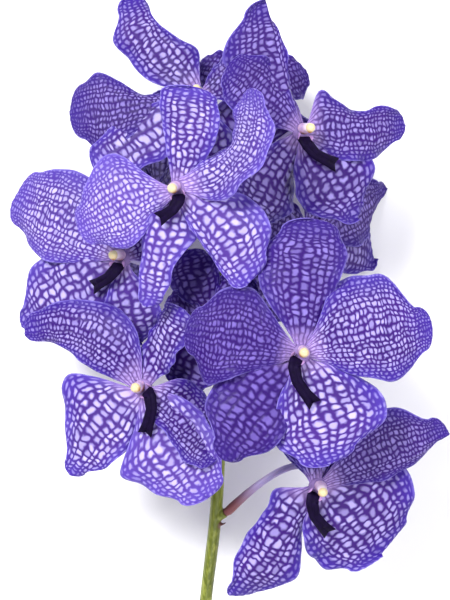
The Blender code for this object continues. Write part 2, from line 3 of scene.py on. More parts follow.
import bmesh
import bpy
import numpy as np
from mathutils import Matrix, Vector


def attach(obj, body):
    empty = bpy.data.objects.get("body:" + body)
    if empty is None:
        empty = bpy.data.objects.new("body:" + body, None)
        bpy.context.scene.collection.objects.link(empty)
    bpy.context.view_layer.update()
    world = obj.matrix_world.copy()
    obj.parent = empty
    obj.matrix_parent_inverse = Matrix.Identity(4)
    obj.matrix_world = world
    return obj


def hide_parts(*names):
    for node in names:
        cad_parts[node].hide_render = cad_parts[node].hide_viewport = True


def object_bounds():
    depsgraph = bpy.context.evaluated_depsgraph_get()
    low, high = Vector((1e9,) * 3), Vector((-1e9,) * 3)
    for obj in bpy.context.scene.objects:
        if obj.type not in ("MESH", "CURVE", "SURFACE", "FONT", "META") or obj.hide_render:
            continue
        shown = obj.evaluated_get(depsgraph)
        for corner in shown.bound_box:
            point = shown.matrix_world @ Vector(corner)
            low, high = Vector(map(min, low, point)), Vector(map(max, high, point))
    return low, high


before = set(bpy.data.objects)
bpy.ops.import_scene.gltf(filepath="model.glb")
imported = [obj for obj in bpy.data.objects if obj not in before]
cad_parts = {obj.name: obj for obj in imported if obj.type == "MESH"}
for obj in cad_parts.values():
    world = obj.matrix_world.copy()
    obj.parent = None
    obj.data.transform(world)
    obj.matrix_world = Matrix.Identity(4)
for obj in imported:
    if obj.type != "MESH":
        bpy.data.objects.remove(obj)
cad_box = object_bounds()


# Flower stalk
# A fleshy green stem, round and faintly ribbed, cut off square at its lower end. Under
# each bloom it swells into a boss, and a small brown scale sits in the angle below.
MM = 0.001
FOOTPRINT_MIDDLE = (1.79, -34.71, 0.0)

# The stalk's middle from its cut end up. Here and below, lengths are in millimetres, and
# the footprint's middle is what lies over the origin.
STALK_LINE = (
    (-14.5, -190.0, 2.35),
    (-13.2, -176.0, 2.35),
    (-10.6, -150.0, 9.0),
    (-7.4, -117.0, 24.0),
    (-4.2, -90.0, 36.0),
    (-2.6, -68.0, 41.5),
    (-2.2, -40.0, 45.0),
    (-2.6, -5.0, 47.0),
    (-3.0, 30.0, 47.0),
    (-2.5, 52.0, 46.0),
    (-1.5, 66.0, 45.0),
)
STALK_RADIUS = 2.5
STALK_TIP_RADIUS = 1.6
TAPER_START = 0.75
STALK_RINGS = 320
STALK_SIDES = 36
STALK_RIBS = 11
RIB_HEIGHT = 0.05
BOSS_RADIUS = 2.0
BOSS_LENGTH = 4.9
BOSS_LEAN = 0.6
BOSS_RINGS = 12
BOSS_FLARE = 0.8
BOSS_ROUNDING = 0.25
SCALE_LENGTH = 5.2
SCALE_HALF_WIDTH = 1.5
SCALE_TIP_HALF_WIDTH = 0.25
SCALE_FLATNESS = 0.375
SCALE_CURL = 1.2
SCALE_DROP = 3.2
SCALE_LEAN = 0.25
VOXEL = 0.36
STAIN_REACH = 2.2
CUT_REACH = 0.5

# Each bloom: the middle of its receptacle, the way that it looks, and the Y on the
# stalk where its pedicel leaves.
BLOOMS = {
    1: {"place": (-9.8, 79.2, 60.0), "faces": (-0.28, 0.30, 0.90), "joint": 50.0},
    2: {"place": (-18.7, 42.9, 88.0), "faces": (-0.15, -0.10, 0.98), "joint": 20.0},
    3: {"place": (29.6, 65.5, 70.0), "faces": (0.45, 0.05, 0.88), "joint": 36.0},
    4: {"place": (-40.2, 16.4, 60.0), "faces": (-0.45, 0.0, 0.88), "joint": -6.0},
    5: {"place": (29.6, -20.7, 86.0), "faces": (0.02, -0.06, 1.0), "joint": -46.0},
    6: {"place": (-32.0, -34.3, 64.0), "faces": (-0.25, -0.05, 0.95), "joint": -62.0},
    7: {"place": (36.3, -72.9, 58.0), "faces": (0.15, -0.40, 0.90), "joint": -86.0},
    8: {"place": (-5.0, -7.0, 62.0), "faces": (-0.10, 0.0, 1.0), "joint": -30.0},
    9: {"place": (33.0, 25.0, 35.0), "faces": (0.74, 0.0, 0.67), "joint": 4.0},
    10: {"place": (10.0, 82.0, 41.0), "faces": (0.15, 0.45, 0.88), "joint": 58.0},
    11: {"place": (-27.0, 40.0, 32.0), "faces": (-0.70, 0.15, 0.55), "joint": 26.0},
}


def unit(vector):
    vector = np.asarray(vector, float)
    return vector / np.linalg.norm(vector, axis=-1, keepdims=True)


def smooth(value, low, high):
    """0 below low, 1 above high, and an even S between them."""
    share = np.clip((value - low) / (high - low), 0, 1)
    return share * share * (3 - 2 * share)


def stalk_points(count):
    """Points along the stalk, on a smooth line through its given places."""
    knots = np.array(STALK_LINE)
    ends = np.vstack((2 * knots[0] - knots[1], knots, 2 * knots[-1] - knots[-2]))
    at = np.linspace(0, len(knots) - 1, count)
    piece = np.minimum(at.astype(int), len(knots) - 2)
    t = (at - piece)[:, None]
    a, b, c, d = (ends[piece + i] for i in range(4))
    return 0.5 * (
        2 * b
        + (c - a) * t
        + (2 * a - 5 * b + 4 * c - d) * t**2
        + (3 * b - a - 3 * c + d) * t**3
    )


def joint_of(bloom):
    """Where a bloom's boss sits on the stalk's middle, and the ways out, up and along it."""
    line = stalk_points(STALK_RINGS)
    here, ahead = (
        np.array([np.interp(y, line[:, 1], line[:, i]) for i in range(3)])
        for y in (bloom["joint"], bloom["joint"] + 1)
    )
    along = unit(ahead - here)
    away = np.asarray(bloom["place"]) - here
    radial = unit(away - along * np.dot(away, along))
    return here, radial, along, radial * math.sqrt(1 - BOSS_LEAN**2) + along * BOSS_LEAN


def rings_along(line, reach, flat=1.0, side=(0.0, 0.0, 1.0)):
    """Rings square to a line. reach is each point's distance from it, one row a ring, and
    flat squeezes the rings across the side that is given."""
    heading = unit(np.gradient(line, axis=0))
    rings = []
    for place, way, distances in zip(line, heading, reach):
        side = unit(side - way * np.dot(side, way))
        angle = np.linspace(0, 2 * np.pi, len(distances), endpoint=False)[:, None]
        round_it = np.cos(angle) * side * flat + np.sin(angle) * np.cross(way, side)
        rings.append(place + distances[:, None] * round_it)
    return np.array(rings)


def body(name, rings, marks=None):
    """A closed, smooth body through rings of points, with its place in its mesh.

    marks holds, by name, three numbers for each point, which its material reads."""
    count, sides = rings.shape[:2]
    index = np.arange(count * sides).reshape(count, sides)
    after = np.roll(index, -1, axis=1)
    walls = np.stack((index[:-1], after[:-1], after[1:], index[1:]), -1).reshape(-1, 4)
    foot, head = count * sides, count * sides + 1
    caps = [(foot, b, a) for a, b in zip(index[0], after[0])]
    caps += [(head, a, b) for a, b in zip(index[-1], after[-1])]
    places = np.vstack((rings.reshape(-1, 3), rings[[0, -1]].mean(axis=1)))
    mesh = bpy.data.meshes.new(name)
    mesh.from_pydata((places - FOOTPRINT_MIDDLE) * MM, [], walls.tolist() + caps)
    for mark, values in (marks or {}).items():
        values = np.vstack((values.reshape(-1, 3), values[[0, -1]].mean(axis=1)))
        kept = mesh.attributes.new(mark, "FLOAT_VECTOR", "POINT")
        kept.data.foreach_set("vector", values.astype(np.float32).ravel())
    shape = bmesh.new()
    shape.from_mesh(mesh)
    bmesh.ops.recalc_face_normals(shape, faces=shape.faces)
    shape.to_mesh(mesh)
    shape.free()
    mesh.shade_smooth()
    made = bpy.data.objects.new(name, mesh)
    bpy.context.scene.collection.objects.link(made)
    return made


def join(name, pieces):
    """One object of several bodies, each left whole."""
    shape = bmesh.new()
    for piece in pieces:
        shape.from_mesh(piece.data)
        bpy.data.objects.remove(piece)
    mesh = bpy.data.meshes.new(name)
    shape.to_mesh(mesh)
    shape.free()
    mesh.shade_smooth()
    made = bpy.data.objects.new(name, mesh)
    bpy.context.scene.collection.objects.link(made)
    return made


def linear(code):
    """An sRGB hex colour as the linear numbers that a shader takes."""
    parts = [int(code[i : i + 2], 16) / 255 for i in (1, 3, 5)]
    parts = [p / 12.92 if p <= 0.04045 else ((p + 0.055) / 1.055) ** 2.4 for p in parts]
    return (*parts, 1.0)


def add(tree, kind, inputs=None, **settings):
    """Adds a node with its settings. An input is a value, or a socket to link from."""
    node = tree.nodes.new("ShaderNode" + kind)
    for name, value in settings.items():
        setattr(node, name, value)
    for name, value in (inputs or {}).items():
        if isinstance(value, bpy.types.NodeSocket):
            tree.links.new(value, node.inputs[name])
        else:
            node.inputs[name].default_value = value
    return node


def principled(name, **values):
    """A new material, its tree and its shader with plain values set on its own sockets."""
    made = bpy.data.materials.new(name)
    made.use_nodes = True
    shader = made.node_tree.nodes["Principled BSDF"]
    for socket, value in values.items():
        shader.inputs[socket.replace("_", " ")].default_value = value
    return made, made.node_tree, shader


def stem_skin():
    """Living green epidermis: a thin wax bloom over pale and dark length-wise streaks,
    stained red-brown by the scales, and a wet pale pith where it is cut."""
    made, tree, shader = principled("Stem epidermis", Roughness=0.42, IOR=1.42)
    place = add(tree, "TexCoord").outputs["Object"]
    streak = add(tree, "Mapping", {"Vector": place, "Scale": (0.9 / MM, 0.045 / MM, 0.9 / MM)})
    streaks = add(tree, "TexNoise", {"Vector": streak.outputs[0], "Scale": 1.0, "Detail": 4.0})
    patch = add(tree, "TexNoise", {"Vector": place, "Scale": 0.07 / MM, "Detail": 2.0})
    green = add(
        tree, "Mix",
        {0: patch.outputs["Fac"], 6: linear("#46500f"), 7: linear("#737c26")},
        data_type="RGBA",
    )
    lit = add(
        tree, "MapRange", {"Value": streaks.outputs["Fac"], "From Min": 0.45, "From Max": 0.75}
    )
    fibre = add(
        tree, "Mix", {0: lit.outputs[0], 6: green.outputs[2], 7: linear("#8d9340")},
        data_type="RGBA",
    )
    mark = add(tree, "Attribute", attribute_name="stain").outputs["Vector"]
    mark = add(tree, "SeparateXYZ", {0: mark})
    stained = add(
        tree, "Mix", {0: mark.outputs["X"], 6: fibre.outputs[2], 7: linear("#5f3330")},
        data_type="RGBA",
    )
    cut = add(
        tree, "Mix", {0: mark.outputs["Y"], 6: stained.outputs[2], 7: linear("#c8cf9a")},
        data_type="RGBA",
    )
    tree.links.new(cut.outputs[2], shader.inputs["Base Color"])
    bump = add(
        tree, "Bump",
        {"Height": streaks.outputs["Fac"], "Strength": 0.5, "Distance": 0.1 * MM},
    )
    tree.links.new(bump.outputs[0], shader.inputs["Normal"])
    return made


line = stalk_points(STALK_RINGS)
share = np.linspace(0, 1, STALK_RINGS)[:, None]
angle = np.linspace(0, 2 * np.pi, STALK_SIDES, endpoint=False)
reach = np.interp(share, (TAPER_START, 1.0), (STALK_RADIUS, STALK_TIP_RADIUS))
reach = reach - RIB_HEIGHT * (1 - np.cos(STALK_RIBS * angle + 3 * share))
grown = [body("stalk", rings_along(line, reach))]
stains = []
for bloom in BLOOMS.values():
    here, radial, along, out = joint_of(bloom)
    t = np.linspace(0, 1, BOSS_RINGS)[:, None]
    flare = BOSS_RADIUS + BOSS_FLARE * (1 - t) ** 3 - BOSS_ROUNDING * smooth(t, 0.93, 1.0)
    boss_line = here + out * BOSS_LENGTH * t
    grown.append(body("boss", rings_along(boss_line, np.repeat(flare, STALK_SIDES, 1))))
    foot = here - along * SCALE_DROP
    way = unit(radial + along * SCALE_LEAN)
    scale_line = foot + way * SCALE_LENGTH * t + along * SCALE_CURL * t**3
    narrow = SCALE_HALF_WIDTH * (1 - t**2) + SCALE_TIP_HALF_WIDTH
    rings = rings_along(
        scale_line, np.repeat(narrow, STALK_SIDES, 1), flat=SCALE_FLATNESS, side=along
    )
    grown.append(body("scale", rings))
    stains.append((foot + way * STALK_RADIUS, foot + way * SCALE_LENGTH + along))
stalk = join("stalk_raw", grown)
fused = stalk.modifiers.new("Grown together", "REMESH")
fused.mode = "VOXEL"
fused.voxel_size = VOXEL * MM
fused.use_smooth_shade = True
eased = stalk.modifiers.new("Eased", "SMOOTH")
eased.factor = 0.5
eased.iterations = 4
graph = bpy.context.evaluated_depsgraph_get()
mesh = bpy.data.meshes.new_from_object(stalk.evaluated_get(graph))
bpy.data.objects.remove(stalk)
mesh.shade_smooth()
places = np.array([vert.co for vert in mesh.vertices]) / MM + FOOTPRINT_MIDDLE
places[:, 2] = np.maximum(places[:, 2], 0)
stain = np.zeros(len(places))
for low, high in stains:
    t = np.clip((places - low) @ (high - low) / np.dot(high - low, high - low), 0, 1)
    gap = np.linalg.norm(places - low - t[:, None] * (high - low), axis=1)
    stain = np.maximum(stain, 1 - smooth(gap, 0.4 * STAIN_REACH, STAIN_REACH))
end = stalk_points(STALK_RINGS)[:2]
cut = 1 - smooth((places - end[0]) @ unit(end[1] - end[0]), 0.2 * CUT_REACH, CUT_REACH)
kept = mesh.attributes.new("stain", "FLOAT_VECTOR", "POINT")
mark = np.column_stack((stain, cut, 0 * cut))
kept.data.foreach_set("vector", mark.astype(np.float32).ravel())
mesh.vertices.foreach_set("co", ((places - FOOTPRINT_MIDDLE) * MM).astype(np.float32).ravel())
mesh.materials.append(stem_skin())
stalk = bpy.data.objects.new("stalk_fine", mesh)
bpy.context.scene.collection.objects.link(stalk)
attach(stalk, "root")
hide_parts("flower_stalk")


# Pedicels
# Each bloom hangs on a soft mauve stem that runs into its ribbed ovary. It is joined
# to the stalk's boss by a swollen, red-brown foot.
PEDICEL_RADIUS = 1.4
PEDICEL_FOOT_RADIUS = 1.9
FOOT_SHARE = 0.3
SEAM = 0.3
PEDICEL_RINGS = 64
PEDICEL_SIDES = 36
PEDICEL_END_ROUNDING = 0.12
OVARY_START = 0.45
OVARY_FULL = 0.7
OVARY_RIBS = 6
OVARY_RIB_HEIGHT = 0.12
OVARY_TWIST = 1.6
RECEPTACLE_HEIGHT = 3.4
CURVE_SHARE = 0.4
LONG_PEDICELS = {7: {"reach": (20.0, 18.0), "bow": (0.0, 7.0, 0.0)}}


def bloom_axes(bloom):
    """The bloom's right, up and front as it is faced."""
    front = unit(bloom["faces"])
    right = unit(np.cross((0.0, 1.0, 0.0), front))
    return right, np.cross(front, right), front


def pedicel_line(number):
    """From a seam off the boss to a seam behind the receptacle."""
    bloom = BLOOMS[number]
    here, _, _, out = joint_of(bloom)
    front = bloom_axes(bloom)[2]
    foot = here + out * (BOSS_LENGTH + SEAM)
    end = np.asarray(bloom["place"]) - front * (RECEPTACLE_HEIGHT / 2 + SEAM)
    span = np.linalg.norm(end - foot)
    plain = {"reach": (CURVE_SHARE * span,) * 2, "bow": (0.0, 0.0, 0.0)}
    run = LONG_PEDICELS.get(number, plain)
    a, d = foot + out * PEDICEL_RADIUS, end - front * PEDICEL_RADIUS
    b, c = foot + out * run["reach"][0] + run["bow"], end - front * run["reach"][1] + run["bow"]
    t = np.linspace(0, 1, PEDICEL_RINGS - 2)[:, None]
    curve = a * (1 - t) ** 3 + 3 * b * t * (1 - t) ** 2 + 3 * c * t**2 * (1 - t) + d * t**3
    return np.vstack((foot, curve, end))


def pedicel_skin():
    """Pale mauve epidermis with faint length-wise veins, over a red-brown foot."""
    made, tree, shader = principled(
        "Pedicel epidermis", Roughness=0.45, IOR=1.42, Subsurface_Weight=0.15,
        Subsurface_Scale=0.8 * MM,
    )
    run = add(tree, "Attribute", attribute_name="run").outputs["Vector"]
    part = add(tree, "SeparateXYZ", {0: run})
    streak = add(tree, "Mapping", {"Vector": run, "Scale": (9, 9, 2)})
    veins = add(tree, "TexNoise", {"Vector": streak.outputs[0], "Scale": 1.4, "Detail": 3.0})
    mauve = add(
        tree, "Mix",
        {0: veins.outputs["Fac"], 6: linear("#8873b4"), 7: linear("#d9cdec")},
        data_type="RGBA",
    )
    foot = add(
        tree, "MapRange",
        {
            "Value": part.outputs["Z"], "From Min": 0.05, "From Max": 0.32,
            "To Min": 1.0, "To Max": 0.0,
        },
        interpolation_type="SMOOTHSTEP",
    )
    base = add(
        tree, "Mix", {0: foot.outputs[0], 6: mauve.outputs[2], 7: linear("#7c4448")},
        data_type="RGBA",
    )
    tree.links.new(base.outputs[2], shader.inputs["Base Color"])
    bump = add(
        tree, "Bump", {"Height": veins.outputs["Fac"], "Strength": 0.4, "Distance": 0.1 * MM}
    )
    tree.links.new(bump.outputs[0], shader.inputs["Normal"])
    return made


skin = pedicel_skin()
for number in BLOOMS:
    line = pedicel_line(number)
    share = np.linspace(0, 1, PEDICEL_RINGS)[:, None]
    angle = np.linspace(0, 2 * np.pi, PEDICEL_SIDES, endpoint=False)
    swollen = np.clip(1 - share / FOOT_SHARE, 0, 1)
    reach = PEDICEL_RADIUS + (PEDICEL_FOOT_RADIUS - PEDICEL_RADIUS) * swollen
    ribs = np.cos(OVARY_RIBS * (angle + OVARY_TWIST * share))
    reach = reach + OVARY_RIB_HEIGHT * smooth(share, OVARY_START, OVARY_FULL) * ribs
    ends = smooth(share, 0.97, 1.0) + smooth(1 - share, 0.97, 1.0)
    reach = reach * (1 - PEDICEL_END_ROUNDING * ends)
    run = np.stack(
        np.broadcast_arrays(np.cos(angle)[None], np.sin(angle)[None], share), -1
    )
    made = body(f"pedicel_fine_{number}", rings_along(line, reach), {"run": run})
    made.data.materials.append(skin)
    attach(made, "root")
    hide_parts(f"pedicel_{number}")


# Perianths
# Five waxy tepals spread from one small receptacle: a dorsal, two petals and two
# lateral sepals. Each narrows to a claw, and a violet net of veins covers pale cells.
CLAW_START = 2.2
CLAW_WIDTH = 5.0
RIM_STEP = 0.15
ROUND_START = 0.9
OVAL = (0.39, 0.68, 0.89, 1.0, 0.94, 0.64)
TIP_HALF_WIDTH = 0.25
BLADE = 0.7
RIM_BLADE = 0.32
POINTS_ACROSS = 39
POINTS_ALONG = 54
RECEPTACLE_RADIUS = 3.6
RECEPTACLE_SIDES = 40
RECEPTACLE_RINGS = 15
OPENING = 0.4

# The blade's fine relief: pleats between its veins, the midrib's groove, the rim's frill
PLEAT = 0.14
PLEAT_SPACING = 2.9
GROOVE = 0.35
GROOVE_WIDTH = 1.1
FRILL = 0.8
FRILLS = 4.5

# The net of veins, in files along the blade and rungs across them: how far it fans out
# of the claw, how uneven it is, and how much finer it gets at the rim and the tip
NET_FAN = 0.5
FILE_CHANCE = 0.55
RUNG_CHANCE = 0.7
CELL_ROUNDING = 0.42
RIM_CROWDING = 0.4
TIP_CROWDING = 0.3
CELL_SHAPE = (1.1, 0.85)
SEED_STEP = (17.3, 5.1)

# A tepal runs from its claw to its tip, with "left" and "right" as seen from the front
# with the tip up. clock and length, or tip with its X and Y, say where it ends, and
# forward how far the tip stands in front. arch and sway bow the midrib. left and right
# are the greatest widths beside the midrib, or the widths at each step along a lobed
# blade. Roll, crease, cup and the waves shape the blade.
PLAIN = {
    "length": 43.0, "forward": 0.0, "arch": 1.5, "sway": 0.0, "left": 17.0, "right": 17.0,
    "roll": 0.0, "crease": 0.0, "cup": -10.0, "wave": 2.0, "waves": 1.5, "phase": 0.0,
    "beak": 0.7, "raise": 0.0,
}
# The mesh of the net, in millimetres, and how pale its cells are, differ by kind too.
KINDS = {
    "dorsal": {"clock": 0.0, "phase": 0.1, "raise": -0.6, "cell": 3.5, "pale": 0.85},
    "petal_right": {"clock": 72.0, "phase": 0.3, "raise": 0.6, "cell": 2.7, "pale": 0.7},
    "petal_left": {"clock": -72.0, "phase": 0.8, "raise": 0.6, "cell": 2.7, "pale": 0.7},
    "sepal_right": {"clock": 146.0, "phase": 0.5, "raise": -0.4, "cell": 4.2, "pale": 1.0},
    "sepal_left": {"clock": -146.0, "phase": 0.6, "raise": -0.9, "cell": 4.2, "pale": 1.0},
}
TEPALS = {
    1: {
        "dorsal": {
            "tip": (-35.6, 119.7), "sway": -3.0,
            "left": (5, 10, 12, 12.5, 14.5, 8), "right": (8, 12, 9, 6, 4, 3.5),
        },
        "petal_left": {
            "tip": (-60.5, 74.0),
            "left": (6, 9, 13, 17, 19, 11), "right": (3, 3, 5, 10.5, 14.3, 11.3),
        },
        "sepal_left": {
            "tip": (-49.9, 50.7), "forward": 3.0,
            "left": (7, 11, 12.5, 12, 10, 6), "right": (5.5, 9.5, 12, 12.5, 11.5, 9),
        },
        "petal_right": {"tip": (10.0, 91.0), "left": 10.0, "right": 12.0},
        "sepal_right": {"tip": (-6.0, 45.0), "left": 13.0, "right": 13.0},
    },
    2: {
        "dorsal": {
            "tip": (-13.0, 81.8),
            "left": (4, 5.5, 7.5, 9.6, 11.2, 11.5), "right": (6, 9.5, 12, 13, 12.5, 10),
        },
        "petal_left": {
            "tip": (-56.2, 26.9),
            "left": (5, 8, 12, 13.5, 11, 7), "right": (10, 20, 23, 20.8, 15, 9),
        },
        "petal_right": {
            "tip": (9.4, 81.1), "sway": 10.0, "roll": 50.0,
            "left": (5, 8, 9.5, 9.5, 10, 8), "right": (9, 15, 18, 17.5, 14, 9),
        },
        "sepal_right": {
            "tip": (8.6, 7.0),
            "left": (11, 18, 21, 22, 20, 12), "right": (4, 4.5, 5, 5.5, 5.8, 5.5),
        },
        "sepal_left": {
            "tip": (-30.0, -2.0),
            "left": (8, 12, 9, 6.5, 6.5, 4.8), "right": (6, 8.5, 8.4, 7, 6, 4),
        },
    },
    3: {
        "dorsal": {
            "tip": (15.6, 116.2), "sway": -1.5,
            "left": (6, 13, 19, 21.5, 19.6, 10.5), "right": (2.5, 2, 2.5, 3.2, 3, 1.2),
        },
        "petal_right": {
            "tip": (70.0, 69.0),
            "left": (15.5, 12, 8, 6.3, 8, 6), "right": (8, 12, 13, 13, 11, 6),
        },
        "petal_left": {"tip": (1.9, 90.9), "left": 13.0, "right": 13.0},
        "sepal_right": {
            "tip": (51.5, 32.4),
            "left": (9, 16, 20, 19.5, 15, 6), "right": (10, 15, 17, 16, 13, 7),
        },
        "sepal_left": {
            "tip": (9.0, 30.0), "left": 15.0, "right": 18.0, "roll": 20.0,
            "forward": -5.0,
        },
    },
    4: {
        "petal_left": {
            "tip": (-83.5, 38.5),
            "left": (6, 10, 13.5, 14.5, 12, 8), "right": (9, 18, 22, 22.7, 19.7, 15),
        },
        "sepal_left": {
            "tip": (-79.2, -10.5),
            "left": (8, 12, 13.5, 13, 9, 4), "right": (9, 15, 18, 19.5, 16.5, 5.5),
        },
        "dorsal": {"tip": (-41.0, 50.0), "left": 13.0, "right": 13.0, "forward": -9.0},
        "petal_right": {"tip": (-17.0, 27.0), "left": 11.0, "right": 11.0, "forward": -16.0},
        "sepal_right": {
            "tip": (-33.0, -16.0), "left": 11.0, "right": 12.0, "roll": 40.0,
            "forward": -12.0,
        },
    },
    5: {
        "dorsal": {
            "tip": (33.2, 30.8),
            "left": (7, 13, 17.8, 18.7, 17.5, 11.2), "right": (6, 8.5, 11, 13.5, 15, 11.5),
        },
        "petal_right": {
            "tip": (79.0, -8.0),
            "left": (11, 21.5, 24, 23, 20.7, 6.3), "right": (7, 13, 16, 19.5, 16.8, 11),
        },
        "petal_left": {
            "tip": (-14.8, -12.9),
            "left": (6, 9, 12, 16, 18, 8), "right": (8, 15, 21, 21.5, 19, 11),
        },
        "sepal_left": {
            "tip": (0.1, -61.6),
            "left": (7, 10, 12, 13, 11.5, 5.5), "right": (9, 16, 19.5, 20, 18, 8),
        },
        "sepal_right": {
            "tip": (40.4, -63.0),
            "left": (13, 20, 25.5, 27, 24, 11), "right": (8, 13, 16, 18, 17.7, 11),
        },
    },
    6: {
        "petal_left": {
            "tip": (-78.0, -13.7), "sway": 9.0,
            "left": (7, 9.5, 9.5, 7.6, 5.5, 3.7), "right": (9, 14.5, 15.5, 14, 11.7, 8),
        },
        "sepal_left": {
            "tip": (-60.0, -68.3),
            "left": (6, 9, 10.8, 10, 8.5, 3.5), "right": (16, 26, 25.5, 18.7, 12, 5),
        },
        "sepal_right": {
            "tip": (-6.5, -76.3),
            "left": (10, 14, 15, 15, 13.5, 9), "right": (9, 17, 26.5, 22, 18, 11),
        },
        "petal_right": {
            "tip": (-2.5, -60.5), "roll": 35.0,
            "left": (12, 16, 17, 15, 11, 6), "right": (5, 7, 8, 9, 10, 9),
        },
        "dorsal": {
            "tip": (-17.5, -3.5), "left": 12.0, "right": 11.0, "roll": 35.0,
            "forward": 4.0,
        },
    },
    7: {
        "sepal_right": {
            "tip": (61.4, -99.3),
            "left": (20, 29, 30, 28.5, 24, 16), "right": (14, 18.5, 21.5, 21.5, 21, 14),
        },
        "sepal_left": {
            "tip": (2.3, -115.8), "crease": -12.0,
            "left": (5, 8, 14, 19, 17, 10), "right": (13, 11, 10, 9, 8, 3.7),
        },
        "petal_right": {
            "tip": (87.0, -52.3),
            "left": (8, 14, 19, 20.5, 17.7, 9.3), "right": (4, 6, 7, 7, 6.5, 1.2),
        },
        "dorsal": {"tip": (36.0, -46.0), "forward": -14.0, "left": 15.0, "right": 15.0},
        "petal_left": {"tip": (25.0, -42.0), "forward": -22.0, "left": 9.0, "right": 12.0},
    },
    8: {
        "dorsal": {"tip": (-14.0, 19.0), "left": 11.7, "right": 9.0},
        "petal_left": {"tip": (-23.5, -4.0), "forward": -2.0, "left": 6.5, "right": 9.0},
        "sepal_left": {"tip": (-16.5, -34.0), "left": 12.0, "right": 12.0},
        "petal_right": {"tip": (9.8, 8.0), "left": 9.0, "right": 9.0},
        "sepal_right": {"tip": (7.8, -27.0), "left": 9.0, "right": 9.0},
    },
    9: {
        "petal_right": {
            "tip": (63.5, 44.3), "beak": 1.8,
            "left": (5, 9.5, 12, 12, 10, 4), "right": (5, 11, 14, 14, 10, 2.5),
        },
        "sepal_right": {"tip": (59.0, 17.0), "left": 15.0, "right": 9.0, "forward": -4.0},
        "dorsal": {"tip": (41.0, 58.0), "left": 13.0, "right": 13.0},
        "sepal_left": {"clock": -150.0, "length": 36.0, "forward": -10.0},
        "petal_left": {
            "clock": -66.0, "length": 27.0, "forward": -3.0,
            "left": 12.0, "right": 12.0,
        },
    },
    10: {
        "dorsal": {"tip": (13.0, 104.0), "left": 10.0, "right": 10.0},
        "petal_left": {"tip": (-10.0, 93.0), "left": 9.0, "right": 9.0},
        "petal_right": {"tip": (31.0, 91.0), "left": 9.0, "right": 11.0},
        "sepal_left": {"tip": (-1.5, 66.5), "left": 11.0, "right": 8.0},
        "sepal_right": {"length": 32.0, "left": 12.0, "right": 12.0, "forward": -4.0},
    },
    11: {
        "petal_right": {"clock": 60.0, "length": 24.0, "left": 10.0, "right": 11.0},
        "sepal_right": {"clock": 146.0, "length": 32.0, "left": 13.0, "right": 13.0},
    },
}


# Painted light and shade: how pale a bloom's cells are beside the plain ones of that kind,
# lower for a bloom or a single tepal of it that lies in shade, higher for one that is lit.
PAINTED_LIGHT_AND_SHADE = {
    1: {"all": 0.9, "petal_left": 0.7},
    2: {"all": 1.1, "petal_left": 1.9, "petal_right": 1.6},
    3: {"all": 0.65, "petal_right": 0.85},
    4: {"all": 1.0, "petal_left": 1.6},
    5: {"all": 0.9, "petal_left": 0.45, "sepal_left": 0.3, "dorsal": 0.5, "petal_right": 1.1},
    6: {"all": 0.95, "sepal_right": 1.25},
    7: {"all": 0.8, "petal_right": 0.75},
    8: {"all": 0.5},
    9: {"all": 0.65},
    10: {"all": 0.55},
    11: {"all": 0.6},
}


def turned(bloom, clock):
    """The way across the bloom's face at a clock angle in degrees."""
    right, up, _ = bloom_axes(bloom)
    return up * math.cos(math.radians(clock)) + right * math.sin(math.radians(clock))


def tip_of(bloom, tepal):
    place = np.asarray(bloom["place"])
    front = bloom_axes(bloom)[2]
    if "tip" not in tepal:
        out = turned(bloom, tepal["clock"])
        return place + out * tepal["length"] + front * tepal["forward"]
    x, y = tepal["tip"]
    fall = (front[0] * (x - place[0]) + front[1] * (y - place[1])) / front[2]
    return np.array((x, y, place[2] - fall + tepal["forward"]))


def half_width(tepal, u, v):
    """From the midrib to the rim, at v from the claw, 0, to the tip, 1."""
    at = np.clip(v, 0, ROUND_START) / RIM_STEP
    piece = np.minimum(at.astype(int), len(OVAL) - 1)
    t = at - piece
    sides = []
    for given in (tepal["left"], tepal["right"]):
        if not isinstance(given, tuple):
            given = given * np.array(OVAL)
        knots = np.array((CLAW_WIDTH / 2, CLAW_WIDTH / 2, *given, given[-1]))
        a, b, c, d = (knots[piece + i] for i in range(4))
        sides.append(
            b
            + (c - a) * t / 2
            + (2 * a - 5 * b + 4 * c - d) * t**2 / 2
            + (3 * b - a - 3 * c + d) * t**3 / 2
        )
    closing = np.clip((v - ROUND_START) / (1 - ROUND_START), 0, 1)
    return np.where(u < 0, *sides) * np.sqrt(1 - closing**2)


def arc(reach, start, turn):
    """Along and up of a line of that length that sets out at start and turns by turn."""
    turn = np.where(np.abs(turn) < 1e-6, 1e-6, turn)
    radius = reach / turn
    along = radius * (np.sin(start + turn) - np.sin(start))
    return along, radius * (np.cos(start) - np.cos(start + turn))


